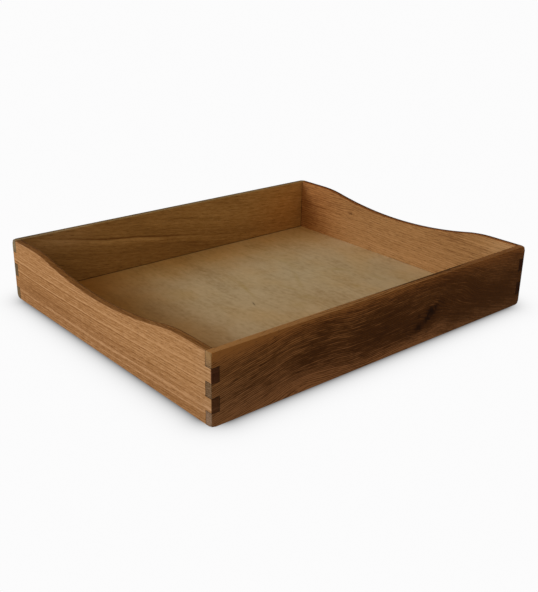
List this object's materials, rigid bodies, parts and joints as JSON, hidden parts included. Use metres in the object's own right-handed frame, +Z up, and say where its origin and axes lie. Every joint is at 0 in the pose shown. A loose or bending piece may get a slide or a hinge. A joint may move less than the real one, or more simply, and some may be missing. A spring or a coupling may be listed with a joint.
{
  "type": "letter tray",
  "caption": "Open wooden desk tray for letter paper: finger-jointed corners, scooped side boards and a plywood base let into a rebate.",
  "frame": {"origin": "centre of the footprint, on the plane the tray rests on", "axes": "+Z up, +X along the long front board, +Y from the front board to the back board; the scooped side boards face -X and +X"},
  "size_m": [0.32, 0.27, 0.051],
  "materials": {
    "oak_board": "oiled open-grain oak, satin",
    "birch_plywood": "thin birch plywood, sanded and lightly oiled"
  },
  "bodies": {
    "root": {"front_board": "oak_board", "back_board": "oak_board", "left_side_board": "oak_board", "right_side_board": "oak_board", "base_panel": "birch_plywood"}
  },
  "joints": []
}
